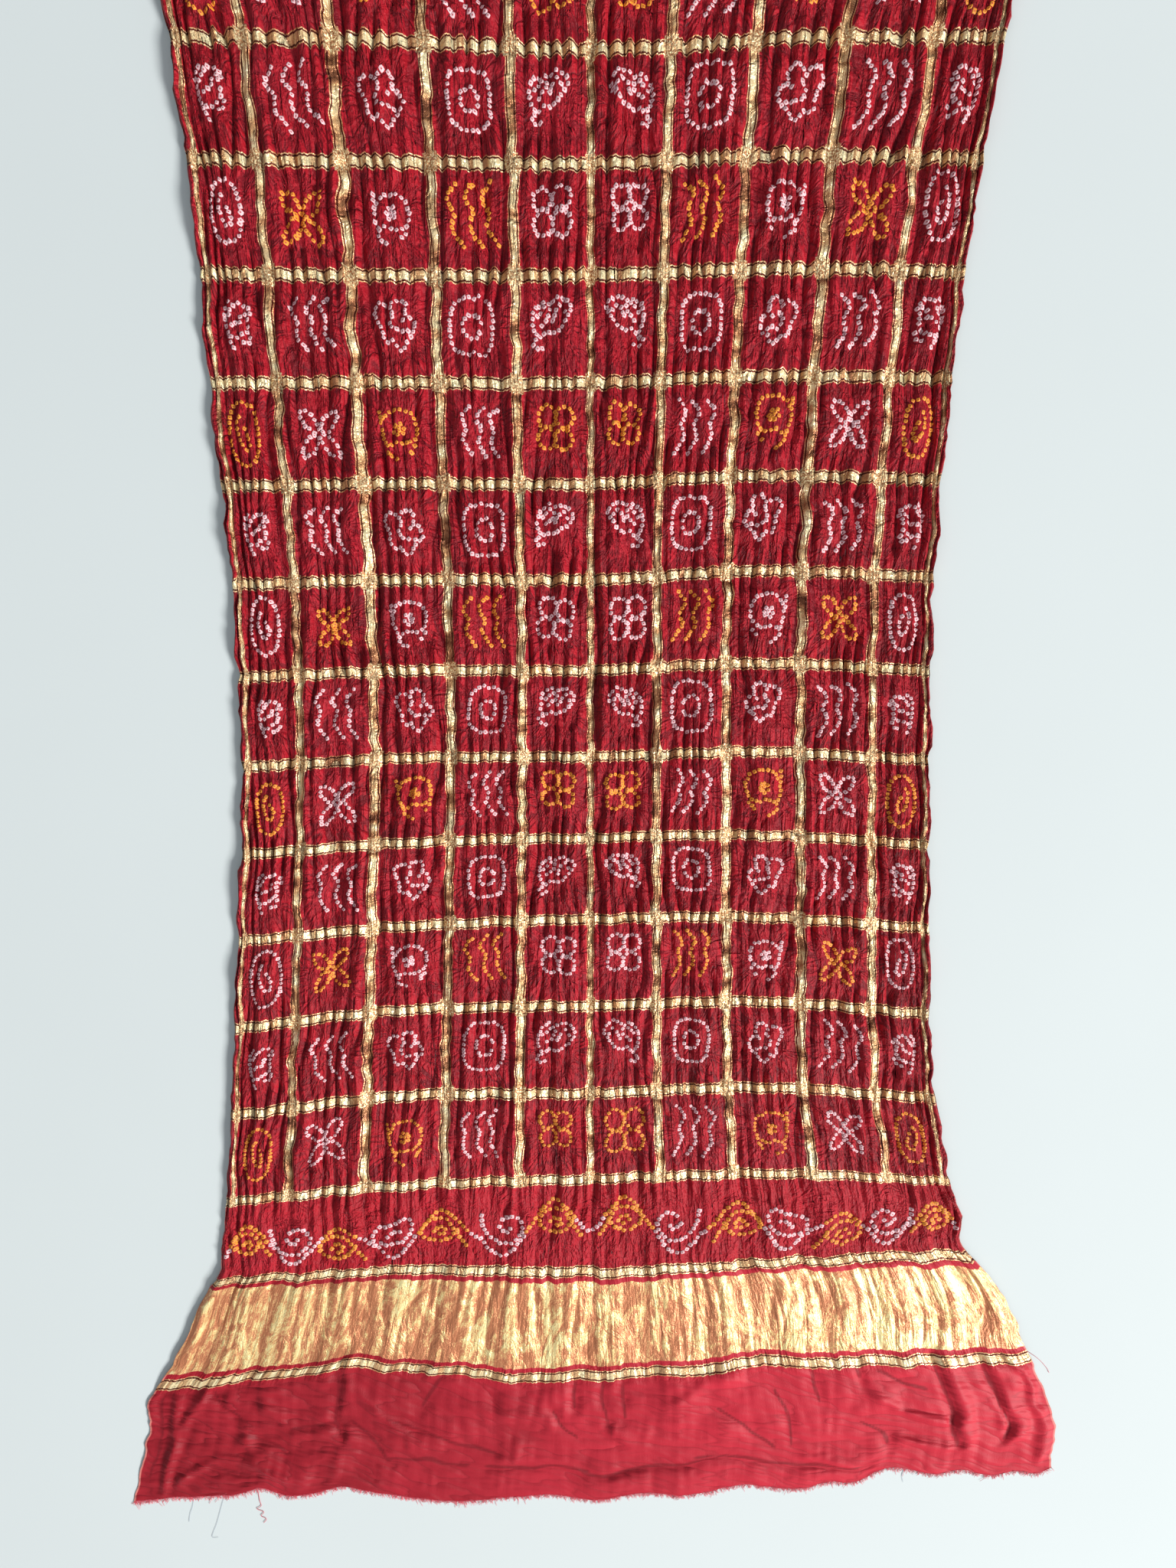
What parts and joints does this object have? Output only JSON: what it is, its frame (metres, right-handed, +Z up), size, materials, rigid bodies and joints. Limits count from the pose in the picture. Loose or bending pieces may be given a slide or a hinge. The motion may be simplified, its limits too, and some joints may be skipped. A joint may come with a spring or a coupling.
{
  "type": "bandhani cloth",
  "caption": "Tie-dyed silk cloth with woven gold checks and a gold end band, crinkled by its tying, laid out face up with its untied raw end spread wide.",
  "frame": {"origin": "on the surface the cloth lies on, under the middle of its box", "axes": "+X across the cloth, +Y up its length away from the raw end, +Z up out of its face"},
  "size_m": [0.922, 1.3822, 0.0081],
  "materials": {
    "silk": "soft satin silk, crimson, with metallic gold stripes woven in"
  },
  "bodies": {
    "root": {"cloth": "silk"}
  },
  "joints": []
}
